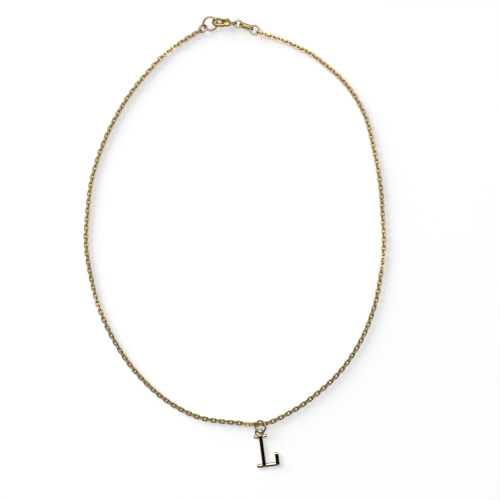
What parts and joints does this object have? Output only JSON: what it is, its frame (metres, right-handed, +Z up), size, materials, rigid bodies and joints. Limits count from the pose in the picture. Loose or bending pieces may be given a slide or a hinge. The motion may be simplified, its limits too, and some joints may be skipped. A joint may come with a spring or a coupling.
{
  "type": "initial pendant necklace",
  "caption": "Fine gold cable-chain necklace lying closed in a loop, with a lobster clasp, jump rings and a polished serif letter L pendant.",
  "frame": {"origin": "centre of the lying necklace's box, on the surface it lies on", "axes": "+Y from the pendant towards the clasp, +X to the right as worn from above, +Z up from the surface"},
  "size_m": [0.1242, 0.1849, 0.0038],
  "materials": {
    "chain_gold": "bright gold, flat-cut links",
    "clasp_gold": "bright gold, softly worn",
    "polished_gold": "mirror-polished gold"
  },
  "bodies": {
    "necklace": {"chain_left": "chain_gold", "chain_right": "chain_gold", "left_end_ring": "chain_gold", "clasp_ring": "chain_gold", "clasp_body": "clasp_gold", "clasp_eye_ring": "chain_gold", "connector_link": "chain_gold", "right_end_ring": "chain_gold", "pendant_ring": "chain_gold", "letter_pendant": "polished_gold"},
    "clasp_lever": {"clasp_lever": "clasp_gold"}
  },
  "joints": [
    {"name": "lever_hinge", "type": "hinge", "parent": "necklace", "child": "clasp_lever", "pos_m": [-0.00419, 0.09061, 0.0014], "axis": [0.0879, 0.6103, 0.7873], "range_deg": [0, 12], "stiffness_Nm_per_rad": 0.002, "springref_deg": -8.59}
  ]
}
